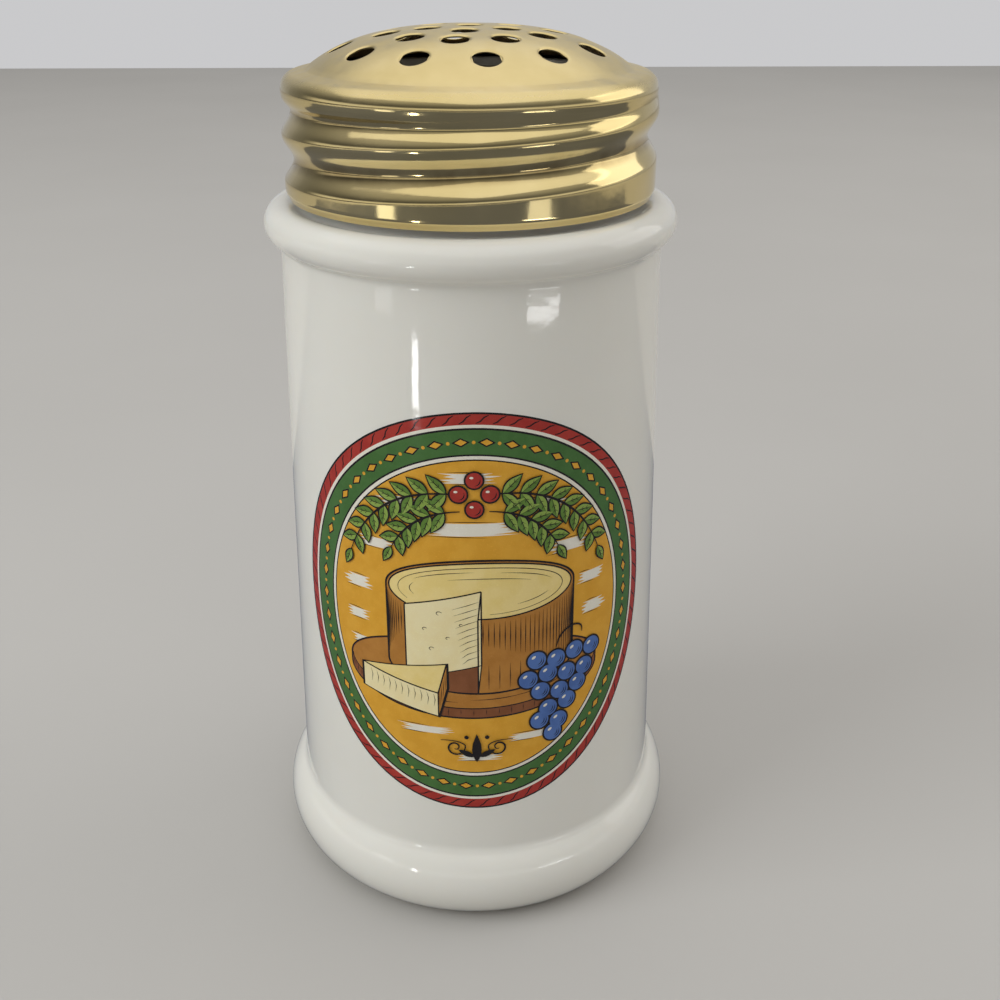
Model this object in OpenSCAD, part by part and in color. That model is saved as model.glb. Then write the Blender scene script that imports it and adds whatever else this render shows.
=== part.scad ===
// Cheese shaker: a tapered jar of glazed ceramic with a rounded foot, a beaded collar and a
// threaded neck. A perforated cap of thin gold-coloured metal screws onto the neck over a
// soft sealing ring, and a printed panel is fired onto the front of the glaze.
// Millimetres, +Z up. The origin is the middle of the foot, on the table. The front is -Y.

/* [Jar] */
// Thickness of the ceramic wall
wall_t = 4; // [3:0.1:5]
// Thickness of the floor
floor_t = 5; // [3:0.1:9]
// Radius of the hollow corner between floor and wall
floor_fillet_r = 8; // [3:0.5:14]

/* [Foot] */
// Largest radius of the foot bead
foot_r = 41.4; // [40:0.1:44]
// How far the foot bead stands out from the tapered wall, carried down to the table
foot_step = 3.3; // [2.5:0.1:4.5]
// Radius of the foot bead's round section
foot_bead_r = 10; // [9:0.1:11]
// How far the round section is cut off where the foot stands
foot_cut = 1; // [0.2:0.1:1.5]
// Radius of the hollow fillet above the foot bead
foot_fillet_r = 3; // [1:0.5:6]
// Width from the foot's outside to the recess under the floor
recess_inset = 14.4; // [13.4:0.1:20]
// Depth of the recess under the floor
recess_depth = 2.4; // [1:0.1:4]
// Radius of the hollow corner of the recess
recess_fillet_r = 1.2; // [0.4:0.1:2]

/* [Collar] */
// Height of the middle of the collar bead
collar_z = 133.1; // [110:0.1:150]
// How far the collar bead stands out from the neck
ledge_w = 7.5; // [7:0.1:8.5]
// How far the collar bead stands out from the tapered wall
collar_step = 2.8; // [2.2:0.1:3.2]
// Radius of the collar bead's round section
collar_bead_r = 3.5; // [3:0.1:4]
// Radius of the small fillet under the collar bead
collar_fillet_r = 1.5; // [0.5:0.1:2.5]

/* [Neck] */
// Radius of the neck between the turns of its thread
neck_r = 29.6; // [27:0.1:32]
// Thickness of the neck's wall round the mouth
neck_wall_t = 3.3; // [2.8:0.1:8]
// Height of the lip above the middle of the collar bead
neck_h = 22.25; // [21.6:0.05:24]
// Radius of the rounded lip
lip_round_r = 1.3; // [0.4:0.1:1.6]
// Radius of the hollow fillet where the neck stands on the collar
neck_fillet_r = 2; // [1:0.1:2.4]

/* [Thread] */
// Rise of the thread in one turn
thread_pitch = 8.2; // [7:0.1:9]
// Height of the thread's middle below the lip, at the front of the jar
thread_down = 13.65; // [12:0.05:14]
// How far the ceramic thread stands out of the neck
ridge_h = 1.35; // [1:0.05:1.6]
// Width of the ceramic thread at its crest
ridge_crest_w = 2.4; // [1.4:0.1:3]
// Width of the ceramic thread where it leaves the neck
ridge_root_w = 4.4; // [3.6:0.1:4.8]
// Turns of the ceramic thread
ridge_turns = 1.15; // [1:0.05:1.3]

/* [Sealing ring] */
// Thickness of the sealing ring
ring_t = 1.6; // [1:0.1:2.4]
// How far the sealing ring's hole stands back from the mouth
ring_step = 0.7; // [0:0.1:1.5]
// Play between the lip, the sealing ring and the cap
seat_gap = 0.3; // [0.2:0.05:0.5]

/* [Cap] */
// Thickness of the cap's metal sheet
sheet_t = 0.45; // [0.3:0.05:0.6]
// How far the rim stays inside the crest of the rolled thread
rim_step = 0.3; // [0:0.1:0.6]
// Radius of the rim's round section
rim_bead_r = 2.6; // [2.2:0.1:3]
// Height of the skirt, from its edge to the middle of the rim
skirt_h = 17.9; // [16.5:0.1:18.5]
// Play between the neck and the valleys of the rolled thread
roll_play = 0.95; // [0.75:0.05:1.05]
// Depth of the rolled thread from crest to valley
roll_depth = 1.8; // [1.6:0.1:2.2]
// Angle from the front at which the rolled groove runs out into the plain band
groove_start = -210; // [-260:5:-150]
// Angle from the front at which the rolled groove runs out into the rim, a turn higher
groove_end = 435; // [380:5:460]
// How far the skirt's edge is turned in
edge_turn = 0.55; // [0:0.05:0.6]
// Height over which the skirt's edge is turned in
edge_turn_h = 1.4; // [0.6:0.1:1.8]
// Height of the plain band
band_h = 2; // [1:0.1:2.6]
// Width from the middle of the rim's round section in to the dome
dome_inset = 1.9; // [1.5:0.1:3.5]
// Height of the crease between dome and rim above the rim
crease_lift = 0.5; // [0.3:0.1:0.8]
// Rise of the dome
dome_rise = 6.6; // [4:0.1:9]

/* [Shaker holes] */
// Diameter of a shaker hole
hole_d = 4.8; // [3:0.1:5.2]
// Radius of the inner ring of holes
ring1_r = 7.7; // [7:0.1:8]
// Number of holes in the inner ring
ring1_n = 6; // [4:1:7]
// Radius of the middle ring of holes
ring2_r = 14.4; // [13.8:0.1:15]
// Number of holes in the middle ring
ring2_n = 11; // [6:1:13]
// Radius of the outer ring of holes
ring3_r = 21.9; // [21:0.1:23]
// Number of holes in the outer ring
ring3_n = 12; // [8:1:20]

/* [Printed panel] */
// Width of the printed panel, measured round the wall
panel_w = 74; // [40:1:80]
// Height of the printed panel
panel_h = 81; // [50:1:90]
// Height of the panel's middle
panel_z = 68; // [66:0.5:74]
// Thickness of the fired print
panel_t = 0.15; // [0.1:0.05:0.3]
// Space that keeps the print's solid clear of the wall
panel_gap = 0.02; // [0.01:0.01:0.05]

/* [Hidden] */

// Angles, in degrees from the front towards +X, of one hole in each ring
ring1_angle = -6;
ring2_angle = -9;
ring3_angle = 7;
// Angle, from the front towards +X, at which the ceramic thread starts
ridge_angle = -20;
// Angles over which each end of the ceramic thread and of the rolled groove runs out
ridge_runout = 30;
groove_runout = 45;

// Facets of a full circle, and of one round corner in an outline
round_steps = 144;
corner_steps = 10;
// Steps round the rolled skirt, and rows up it
skirt_steps = 72;
skirt_rows = 17;
// Steps of the ceramic thread in one turn
ridge_steps = 72;
// Points round the printed panel, and along the dome's outline
panel_steps = 48;
dome_steps = 16;
$fn = round_steps;

// Shares of the dome's rise that follow the square and the fourth power of the radius
dome_square_share = 0.42;
dome_fourth_share = 0.58;
// Shares of the rim bead's radius: where the rim's own piece starts, and its overlap with the skirt
rim_low_share = 0.2;
rim_lap_share = 0.2;
// Share of the sheet's thickness that the skirt keeps inside the rim's wall
tongue_share = 0.5;
// Shares of the pitch over which the rolled groove grows out of the plain band, and into the rim
grow_share = 0.27;
rim_grow_share = 0.36;
// First and last turn of the rolled groove, counted from the front
groove_turns = [-1:1];
// Share of the neck's wall that the ceramic thread is rooted in
root_share = 0.3;
// Length by which a cut passes through what it cuts
overrun = sheet_t;

// Radii that follow the neck: mouth, collar bead, top of the tapered wall and sealing ring
mouth_r = neck_r - neck_wall_t;
collar_r = neck_r + ledge_w;
wall_top_r = collar_r - collar_step;
ring_in_r = mouth_r + ring_step;

// Radii of the cap, from the neck outwards
roll_valley_r = neck_r + roll_play + sheet_t;
roll_crest_r = roll_valley_r + roll_depth;
rim_r = roll_crest_r - rim_step;
dome_r = rim_r - rim_bead_r - dome_inset;

// Radii that follow the foot: the tapered wall at the table, and the recess
wall_base_r = foot_r - foot_step;
recess_r = foot_r - recess_inset;

// Slope of the tapered wall, and its radius at a height
wall_slope = (wall_base_r - wall_top_r) / collar_z;
function wall_r(z) = wall_base_r - wall_slope * z;

// Middles of the two ceramic beads
foot_c = [foot_r - foot_bead_r, foot_bead_r - foot_cut];
collar_c = [collar_r - collar_bead_r, collar_z];

// The seats, from the lip upwards, and the cap's levels from them
lip_z = collar_z + neck_h;
ring_z = lip_z + seat_gap;
rim_in_z = ring_z + ring_t + seat_gap;
rim_c = [rim_r - rim_bead_r, rim_in_z - (rim_bead_r - sheet_t)];
edge_z = rim_c[1] - skirt_h;
crease_z = rim_c[1] + rim_bead_r + crease_lift;
apex_z = crease_z + dome_rise;
rim_low_z = rim_c[1] - rim_low_share * rim_bead_r;
thread_z = lip_z - thread_down;

// Points on an arc round the middle c, from angle a to angle b
function arc(c, r, a, b) =
    [for (i = [0:corner_steps]) let (way = a + (b - a) * i / corner_steps) c + r * [cos(way), sin(way)]];

// Middle of the fillet between the tapered wall and a bead, above it or below it by side
function wall_fillet_c(c, bead_r, fillet_r, side) =
    let (
        steep = 1 + wall_slope * wall_slope,
        reach = wall_base_r + fillet_r * sqrt(steep) - c[0],
        far = bead_r + fillet_r,
        half = reach * wall_slope + c[1],
        z = (half + side * sqrt(half * half - steep * (reach * reach + c[1] * c[1] - far * far))) / steep
    )
    [c[0] + reach - wall_slope * z, z];

// Angle of the line from point a to point b
function heading(a, b) = atan2(b[1] - a[1], b[0] - a[0]);

// Height of the rolled and the ceramic thread's middle at an angle from the front
function thread_mid(angle) = thread_z + thread_pitch * angle / 360;

// Smooth step from 0 to 1
function ease(x) = let (t = min(max(x, 0), 1)) t * t * (3 - 2 * t);

// Height and slope of the dome's outside at a radius
function dome_z(r) =
    apex_z - dome_rise * (dome_square_share * pow(r / dome_r, 2) + dome_fourth_share * pow(r / dome_r, 4));
function dome_tilt(r) =
    let (out = r / dome_r)
    atan(dome_rise / dome_r * (2 * dome_square_share * out + 4 * dome_fourth_share * pow(out, 3)));

// Joins a closed loop of section points, repeated at each step, into one solid.
// A ring joins its last section to its first, and an open sweep gets two flat ends.
module swept(sections, ring) {
    steps = len(sections);
    count = len(sections[0]);
    last = ring ? steps - 1 : steps - 2;
    sides = [
        for (i = [0:last])
            for (k = [0:count - 1])
                let (
                    a = i * count + k,
                    b = i * count + (k + 1) % count,
                    c = ((i + 1) % steps) * count + (k + 1) % count,
                    d = ((i + 1) % steps) * count + k
                )
                each [[a, b, c], [a, c, d]]
    ];
    ends = ring ? [] : [
        for (k = [1:count - 2])
            each [[0, k + 1, k], [(steps - 1) * count, (steps - 1) * count + k, (steps - 1) * count + k + 1]]
    ];
    polyhedron(points = [for (s = sections) each s], faces = concat(sides, ends));
}

// A section point at a radius and height, at an angle from the front towards +X
function placed(r, z, angle) = [r * sin(angle), -r * cos(angle), z];

// Outline of the jar: foot, wall, collar and neck outside, then mouth, wall and floor inside
module jar_outline() {
    foot_f = wall_fillet_c(foot_c, foot_bead_r, foot_fillet_r, 1);
    collar_f = wall_fillet_c(collar_c, collar_bead_r, collar_fillet_r, -1);
    wall_angle = atan(wall_slope);
    neck_far = collar_bead_r + neck_fillet_r;
    neck_f_r = neck_r + neck_fillet_r;
    neck_f = [neck_f_r, collar_z + sqrt(neck_far * neck_far - pow(collar_c[0] - neck_f_r, 2))];
    floor_z = recess_depth + floor_t;
    inside_r = function (z) wall_r(z) - wall_t;
    shoulder_z = collar_z - collar_bead_r;
    shoulder_h = inside_r(shoulder_z) - mouth_r;
    polygon(concat(
        [[0, recess_depth]],
        arc([recess_r - recess_fillet_r, recess_depth - recess_fillet_r], recess_fillet_r, 90, 0),
        [[recess_r, 0]],
        arc(foot_c, foot_bead_r, -asin(foot_c[1] / foot_bead_r), heading(foot_c, foot_f)),
        arc(foot_f, foot_fillet_r, heading(foot_f, foot_c) + 360, 180 + wall_angle),
        arc(collar_f, collar_fillet_r, 180 + wall_angle, heading(collar_f, collar_c)),
        arc(collar_c, collar_bead_r, heading(collar_c, collar_f), heading(collar_c, neck_f)),
        arc(neck_f, neck_fillet_r, heading(neck_f, collar_c) + 360, 180),
        arc([neck_r - lip_round_r, lip_z - lip_round_r], lip_round_r, 0, 90),
        arc([mouth_r + lip_round_r, lip_z - lip_round_r], lip_round_r, 90, 180),
        [[mouth_r, shoulder_z]],
        [[inside_r(shoulder_z), shoulder_z - shoulder_h]],
        arc([inside_r(floor_z) - floor_fillet_r, floor_z + floor_fillet_r], floor_fillet_r, 0, -90),
        [[0, floor_z]]
    ));
}

// One ceramic ridge that winds up the neck, running out at both ends
module neck_ridge() {
    steps = round(ridge_turns * ridge_steps);
    turn = ridge_turns * 360;
    root_r = neck_r - root_share * (neck_r - mouth_r);
    slack = (ridge_root_w - ridge_crest_w) / ridge_h * (neck_r - root_r);
    sections = [
        for (i = [0:steps])
            let (
                along = turn * i / steps,
                angle = ridge_angle + along,
                full = min(ease(along / ridge_runout), ease((turn - along) / ridge_runout)),
                crest = root_r + (neck_r + ridge_h - root_r) * (root_share + (1 - root_share) * full),
                z = thread_mid(angle)
            )
            [
                placed(crest, z - ridge_crest_w / 2, angle),
                placed(crest, z + ridge_crest_w / 2, angle),
                placed(root_r, z + (ridge_root_w + slack) / 2, angle),
                placed(root_r, z - (ridge_root_w + slack) / 2, angle)
            ]
    ];
    swept(sections, false);
}

module shaker_body() {
    color([0.93, 0.92, 0.88])
    union() {
        rotate_extrude() jar_outline();
        neck_ridge();
    }
}

// The print covers an oval of the front wall
module front_panel() {
    low_z = panel_z - panel_h / 2;
    high_z = panel_z + panel_h / 2;
    color([0.85, 0.62, 0.18])
    intersection() {
        rotate_extrude()
        translate([panel_gap, 0])
        polygon([
            [wall_r(low_z), low_z],
            [wall_r(low_z) + panel_t, low_z],
            [wall_r(high_z) + panel_t, high_z],
            [wall_r(high_z), high_z]
        ]);
        rotate([90, 0, 0])
        linear_extrude(max(wall_r(low_z), wall_r(high_z)) + panel_gap + panel_t + overrun)
        polygon([
            for (i = [0:panel_steps - 1])
                let (
                    a = 360 * i / panel_steps,
                    z = panel_z + panel_h / 2 * sin(a),
                    across = panel_w / 2 * cos(a)
                )
                [wall_r(z) * sin(across / wall_r(z) * 180 / PI), z]
        ]);
    }
}

module seal_ring() {
    color([0.88, 0.87, 0.82])
    translate([0, 0, ring_z])
    difference() {
        cylinder(h = ring_t, r = rim_c[0]);
        translate([0, 0, -overrun]) cylinder(h = ring_t + 2 * overrun, r = ring_in_r);
    }
}

// Sheet of the dome and the rounded rim, as an outline of its outside and its inside
module cap_top_outline() {
    in_bead_r = rim_bead_r - sheet_t;
    low_out = asin((rim_low_z - rim_c[1]) / rim_bead_r);
    low_in = asin((rim_low_z - rim_c[1]) / in_bead_r);
    turned = heading(rim_c, [dome_r, crease_z]) - acos(rim_bead_r / norm([dome_r, crease_z] - rim_c));
    outside = [for (i = [0:dome_steps]) let (r = dome_r * i / dome_steps) [r, dome_z(r)]];
    inside = [
        for (i = [dome_steps:-1:0])
            let (r = dome_r * i / dome_steps, tilt = dome_tilt(r))
            [r - sheet_t * sin(tilt), dome_z(r) - sheet_t * cos(tilt)]
    ];
    polygon(concat(
        outside,
        arc(rim_c, rim_bead_r, turned, low_out),
        arc(rim_c, in_bead_r, low_in, turned),
        inside
    ));
}

// Depth of the rolled groove at a height, at an angle that counts on from turn to turn
function groove_depth(z, angle) =
    let (
        off = min(abs(z - thread_mid(angle) - thread_pitch / 2), thread_pitch / 2),
        full = min(ease((angle - groove_start) / groove_runout), ease((groove_end - angle) / groove_runout))
    )
    roll_depth * full * (1 + cos(off / thread_pitch * 360)) / 2;

// Radius of the skirt's outside at a height and an angle from the front
function skirt_r(z, angle) =
    let (
        groove = max([for (turn = groove_turns) groove_depth(z, angle + 360 * turn)]),
        from_band = ease((z - edge_z - band_h) / (grow_share * thread_pitch)),
        to_rim = ease((z - rim_low_z) / (rim_grow_share * thread_pitch) + 1),
        edge = edge_turn * (1 - ease((z - edge_z) / edge_turn_h)),
        low_rim_r = rim_c[0] + sqrt(pow(rim_bead_r, 2) - pow(rim_low_z - rim_c[1], 2))
    )
    (roll_crest_r - edge - groove * from_band) * (1 - to_rim) + low_rim_r * to_rim;

// Middle of the rim's sheet at a height
function rim_mid_r(z) = rim_c[0] + sqrt(pow(rim_bead_r - sheet_t / 2, 2) - pow(z - rim_c[1], 2));

// The skirt, with its thread rolled into the sheet. Its top is a thin tongue inside the rim's wall.
module skirt() {
    top_z = rim_low_z - rim_lap_share * rim_bead_r / 2;
    lap_z = rim_low_z + rim_lap_share * rim_bead_r;
    rows = [for (j = [0:skirt_rows]) edge_z + (top_z - edge_z) * j / skirt_rows];
    thin = tongue_share * sheet_t / 2;
    tongue_zs = [(top_z + rim_low_z) / 2, lap_z];
    sections = [
        for (i = [0:skirt_steps - 1])
            let (angle = 360 * i / skirt_steps)
            concat(
                [for (z = rows) placed(skirt_r(z, angle), z, angle)],
                [for (z = tongue_zs) placed(rim_mid_r(z) + thin, z, angle)],
                [for (k = [1:-1:0]) placed(rim_mid_r(tongue_zs[k]) - thin, tongue_zs[k], angle)],
                [for (j = [skirt_rows:-1:0]) placed(skirt_r(rows[j], angle) - sheet_t, rows[j], angle)]
            )
    ];
    swept(sections, true);
}

// One ring of punched holes, each square to the dome
module hole_ring(r, n, first) {
    tilt = dome_tilt(r);
    for (i = [0:n - 1])
        rotate(first + 360 * i / n)
        translate([0, -r, dome_z(r)])
        rotate([tilt, 0, 0])
        translate([0, 0, -sheet_t - overrun])
        cylinder(h = sheet_t + 2 * overrun, d = hole_d);
}

module screw_cap() {
    color([0.80, 0.68, 0.40])
    union() {
        difference() {
            rotate_extrude() cap_top_outline();
            hole_ring(0, 1, 0);
            hole_ring(ring1_r, ring1_n, ring1_angle);
            hole_ring(ring2_r, ring2_n, ring2_angle);
            hole_ring(ring3_r, ring3_n, ring3_angle);
        }
        skirt();
    }
}

shaker_body();
front_panel();
seal_ring();
screw_cap();
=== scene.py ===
import random
from math import acos, asin, atan, atan2, ceil, cos, degrees, dist, floor, hypot, pi, radians, sin, sqrt

import bmesh
import bpy
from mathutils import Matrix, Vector
from mathutils.geometry import delaunay_2d_cdt


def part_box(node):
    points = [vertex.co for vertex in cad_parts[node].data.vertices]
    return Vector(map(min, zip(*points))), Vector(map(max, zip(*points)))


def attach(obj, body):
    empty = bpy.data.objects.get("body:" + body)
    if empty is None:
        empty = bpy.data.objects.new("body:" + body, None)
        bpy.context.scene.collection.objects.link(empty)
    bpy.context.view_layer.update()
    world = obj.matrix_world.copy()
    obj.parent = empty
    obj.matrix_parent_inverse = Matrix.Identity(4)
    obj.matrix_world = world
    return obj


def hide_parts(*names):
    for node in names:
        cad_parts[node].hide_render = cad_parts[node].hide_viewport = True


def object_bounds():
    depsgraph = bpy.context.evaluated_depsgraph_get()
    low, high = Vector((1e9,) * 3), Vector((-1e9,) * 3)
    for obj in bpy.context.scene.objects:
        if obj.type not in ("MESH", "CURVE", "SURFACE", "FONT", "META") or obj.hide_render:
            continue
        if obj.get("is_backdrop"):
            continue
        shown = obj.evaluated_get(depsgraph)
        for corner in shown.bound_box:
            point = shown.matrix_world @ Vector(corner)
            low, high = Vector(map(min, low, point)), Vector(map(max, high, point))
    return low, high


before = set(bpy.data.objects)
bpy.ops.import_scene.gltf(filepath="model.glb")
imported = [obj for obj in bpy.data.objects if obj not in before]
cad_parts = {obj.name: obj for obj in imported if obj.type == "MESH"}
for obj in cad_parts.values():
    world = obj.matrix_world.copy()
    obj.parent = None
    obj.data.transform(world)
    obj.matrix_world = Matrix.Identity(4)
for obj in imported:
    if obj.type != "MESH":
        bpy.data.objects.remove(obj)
cad_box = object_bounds()

# The jar
# One slip-cast piece of white earthenware with a rounded foot, a tapered wall, a beaded collar and
# a threaded neck. It is dipped in glossy glaze and fired, and only the ring it stands on is wiped bare.
lip_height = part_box("shaker_body")[1].z
jar_sides = 192
foot_radius = 0.0414
foot_bead = 0.010
foot_centre = (foot_radius - foot_bead, 0.009)
foot_fillet = 0.003
recess_radius = 0.027
recess_depth = 0.0024
recess_fillet = 0.0012
recess_edge = 0.0002
pole_radius = 0.0004
collar_bead = 0.0035
collar_centre = (0.0336, 0.1331)
collar_fillet = 0.0015
wall_radius_low = 0.0381
wall_radius_collar = 0.0343
wall_slope = (wall_radius_low - wall_radius_collar) / collar_centre[1]
wall_thickness = 0.004
floor_height = 0.0074
floor_fillet = 0.008
neck_radius = 0.0296
neck_fillet = 0.002
neck_skin = 0.0004
mouth_radius = 0.0263
shoulder_spacing = 0.0012
lip_round = 0.0013
thread_pitch = 0.0082
thread_front_height = lip_height - 0.01365
ridge_height = 0.00135
ridge_crest = 0.0026
ridge_root = 0.0052
ridge_start = -20
ridge_turn = 414
ridge_runout = 30
row_spacing = 0.0004
wall_spacing = 0.006
floor_spacing = 0.005
bend_margin = 0.0003
weld = 0.000001


def arc(centre, radius, start, end, steps):
    """Outline points (distance from the axis, height) along an arc, with its angles in degrees."""
    turns = [radians(start + (end - start) * i / steps) for i in range(steps + 1)]
    return [(centre[0] + radius * cos(a), centre[1] + radius * sin(a)) for a in turns]


def run(start, end, spacing):
    """Evenly spaced outline points between two others, without the two. Where they lie far apart,
    one more goes close to each end, so that the shading of a bend stays at the bend."""
    length = dist(start, end)
    steps = max(1, round(length / spacing))
    shares = [i / steps for i in range(1, steps)]
    if spacing >= floor_spacing:
        shares = [bend_margin / length] + shares + [1 - bend_margin / length]
    return [tuple(a + (b - a) * share for a, b in zip(start, end)) for share in shares]


def heading(start, end):
    """Direction in degrees from one outline point to another."""
    return degrees(atan2(end[1] - start[1], end[0] - start[0]))


def wall_radius(height):
    """Outside radius of the tapered wall."""
    return wall_radius_low - wall_slope * height


def wall_fillet_centre(bead_centre, bead, fillet, side):
    """Centre of the fillet between the wall and a bead, above it with side 1 or below it with side -1."""
    steep = 1 + wall_slope ** 2
    reach = wall_radius_low + fillet * sqrt(steep) - bead_centre[0]
    half = reach * wall_slope + bead_centre[1]
    rest = steep * (reach ** 2 + bead_centre[1] ** 2 - (bead + fillet) ** 2)
    height = (half + side * sqrt(half ** 2 - rest)) / steep
    return bead_centre[0] + reach - wall_slope * height, height


def ease(x):
    """Smooth step from 0 to 1."""
    t = min(max(x, 0), 1)
    return t * t * (3 - 2 * t)


def thread_middle(angle):
    """Height of the thread's middle at an angle in degrees from the front towards +X."""
    return thread_front_height + thread_pitch * angle / 360


def front_angle(point):
    """Angle in degrees from the front towards +X."""
    return degrees(atan2(point.x, -point.y))


def take(*pieces):
    """Selects these pieces and nothing else. The last one is active."""
    bpy.ops.object.select_all(action="DESELECT")
    for piece in pieces:
        piece.select_set(True)
    bpy.context.view_layer.objects.active = pieces[-1]


def raise_rings(name, outline, sides):
    """Raises a wall ring by ring along an outline, as on a wheel, and leaves its two ends open."""
    bpy.ops.object.select_all(action="DESELECT")
    radius, height = outline[0]
    bpy.ops.mesh.primitive_circle_add(vertices=sides, radius=radius, location=(0, 0, height))
    piece = bpy.context.object
    piece.name = name
    bpy.ops.object.mode_set(mode="EDIT")
    for next_radius, next_height in outline[1:]:
        bpy.ops.mesh.extrude_edges_move(TRANSFORM_OT_translate={"value": (0, 0, next_height - height)})
        grow = next_radius / radius
        bpy.ops.transform.resize(value=(grow, grow, 1), center_override=(0, 0, next_height))
        radius, height = next_radius, next_height
    bpy.ops.object.mode_set(mode="OBJECT")
    bpy.ops.object.transform_apply(location=True, rotation=True, scale=True)
    return piece


def close_and_smooth(piece, sharp_angle=50):
    """Closes open ends, points all faces outwards and shades the piece smooth except at hard edges."""
    take(piece)
    bpy.ops.object.mode_set(mode="EDIT")
    bpy.ops.mesh.select_all(action="SELECT")
    bpy.ops.mesh.remove_doubles(threshold=weld)
    bpy.ops.mesh.fill_holes(sides=0)
    bpy.ops.mesh.select_all(action="SELECT")
    bpy.ops.mesh.normals_make_consistent(inside=False)
    bpy.ops.object.mode_set(mode="OBJECT")
    bpy.ops.object.shade_smooth_by_angle(angle=radians(sharp_angle))


foot_fillet_centre = wall_fillet_centre(foot_centre, foot_bead, foot_fillet, 1)
collar_fillet_centre = wall_fillet_centre(collar_centre, collar_bead, collar_fillet, -1)
wall_angle = degrees(atan(wall_slope))
neck_far = collar_bead + neck_fillet
neck_fillet_centre = (
    neck_radius + neck_fillet,
    collar_centre[1] + sqrt(neck_far ** 2 - (collar_centre[0] - neck_radius - neck_fillet) ** 2),
)
shoulder_height = collar_centre[1] - collar_bead
shoulder_radius = wall_radius(shoulder_height) - wall_thickness
shoulder_top = (mouth_radius, shoulder_height)
shoulder_foot = (shoulder_radius, shoulder_height - (shoulder_radius - mouth_radius))
recess_middle = (pole_radius, recess_depth)
floor_middle = (pole_radius, floor_height)

recess_centre = (recess_radius - recess_fillet, recess_depth - recess_fillet)
recess_corner = arc(recess_centre, recess_fillet, 90, 0, steps=8)
foot = arc(foot_centre, foot_bead, -degrees(asin(foot_centre[1] / foot_bead)),
           heading(foot_centre, foot_fillet_centre), steps=36)
foot_to_wall = arc(foot_fillet_centre, foot_fillet, heading(foot_fillet_centre, foot_centre) + 360,
                   180 + wall_angle, steps=10)
wall_to_collar = arc(collar_fillet_centre, collar_fillet, 180 + wall_angle,
                     heading(collar_fillet_centre, collar_centre), steps=8)
collar = arc(collar_centre, collar_bead, heading(collar_centre, collar_fillet_centre),
             heading(collar_centre, neck_fillet_centre), steps=24)
collar_to_neck = arc(neck_fillet_centre, neck_fillet, heading(neck_fillet_centre, collar_centre) + 360,
                     180, steps=8)
lip_outer = arc((neck_radius - lip_round, lip_height - lip_round), lip_round, 0, 90, steps=10)
lip_inner = arc((mouth_radius + lip_round, lip_height - lip_round), lip_round, 90, 180, steps=10)
corner_radius = wall_radius(floor_height) - wall_thickness - floor_fillet
floor_corner = arc((corner_radius, floor_height + floor_fillet), floor_fillet, 0, -90, steps=14)

jar = raise_rings("jar", [
    recess_middle, *run(recess_middle, recess_corner[0], floor_spacing), *recess_corner,
    (recess_radius, recess_edge), (recess_radius + recess_edge, 0), *foot, *foot_to_wall[1:],
    *run(foot_to_wall[-1], wall_to_collar[0], wall_spacing), *wall_to_collar, *collar[1:],
    *collar_to_neck[1:], *run(collar_to_neck[-1], lip_outer[0], row_spacing), *lip_outer, *lip_inner,
    *run(lip_inner[-1], shoulder_top, wall_spacing), shoulder_top,
    *run(shoulder_top, shoulder_foot, shoulder_spacing), shoulder_foot,
    *run(shoulder_foot, floor_corner[0], wall_spacing), *floor_corner,
    *run(floor_corner[-1], floor_middle, floor_spacing), floor_middle,
], jar_sides)

# The thread on the neck is soft-edged, because it is cast with the neck and lies under the glaze.
for vertex in jar.data.vertices:
    across = hypot(vertex.co.x, vertex.co.y)
    if across > neck_radius - neck_skin and collar_to_neck[-1][1] < vertex.co.z <= lip_height - lip_round:
        out = 0
        for turn in (0, 360):
            angle = front_angle(vertex.co) + turn
            along = angle - ridge_start
            full = min(ease(along / ridge_runout), ease((ridge_turn - along) / ridge_runout))
            off = abs(vertex.co.z - thread_middle(angle))
            side = 1 - ease((off - ridge_crest / 2) / ((ridge_root - ridge_crest) / 2))
            out = max(out, ridge_height * full * side)
        vertex.co.x *= (across + out) / across
        vertex.co.y *= (across + out) / across
close_and_smooth(jar)


def new_material(name):
    """A node material, and the node tree that the functions below work on."""
    material = bpy.data.materials.new(name)
    material.use_nodes = True
    return material, material.node_tree


def feed(tree, name, value):
    """Gives an input of a material's shader a value, or another node's output."""
    socket = tree.nodes["Principled BSDF"].inputs[name]
    if isinstance(value, bpy.types.NodeSocket):
        tree.links.new(value, socket)
    else:
        socket.default_value = value


def grain(tree, scale, detail=3, stretch=(1, 1, 1)):
    """A noise in object space."""
    place = tree.nodes.new("ShaderNodeTexCoord")
    mapping = tree.nodes.new("ShaderNodeMapping")
    mapping.inputs["Scale"].default_value = stretch
    texture = tree.nodes.new("ShaderNodeTexNoise")
    texture.inputs["Scale"].default_value = scale
    texture.inputs["Detail"].default_value = detail
    tree.links.new(place.outputs["Object"], mapping.inputs["Vector"])
    tree.links.new(mapping.outputs["Vector"], texture.inputs["Vector"])
    return texture.outputs["Fac"]


def remap(tree, value, low, high, out_low, out_high):
    """A value eased from one range to another."""
    node = tree.nodes.new("ShaderNodeMapRange")
    node.interpolation_type = "SMOOTHSTEP"
    for name, number in (("From Min", low), ("From Max", high), ("To Min", out_low), ("To Max", out_high)):
        node.inputs[name].default_value = number
    tree.links.new(value, node.inputs["Value"])
    return node.outputs["Result"]


def mixed(tree, share, first, second):
    """A colour between two others, each a list of numbers or another node's output."""
    node = tree.nodes.new("ShaderNodeMix")
    node.data_type = "RGBA"
    tree.links.new(share, node.inputs["Factor"])
    for name, colour in (("A", first), ("B", second)):
        socket = [s for s in node.inputs if s.name == name and s.type == "RGBA"][0]
        if isinstance(colour, bpy.types.NodeSocket):
            tree.links.new(colour, socket)
        else:
            socket.default_value = (*colour, 1)
    return [s for s in node.outputs if s.type == "RGBA"][0]


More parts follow.
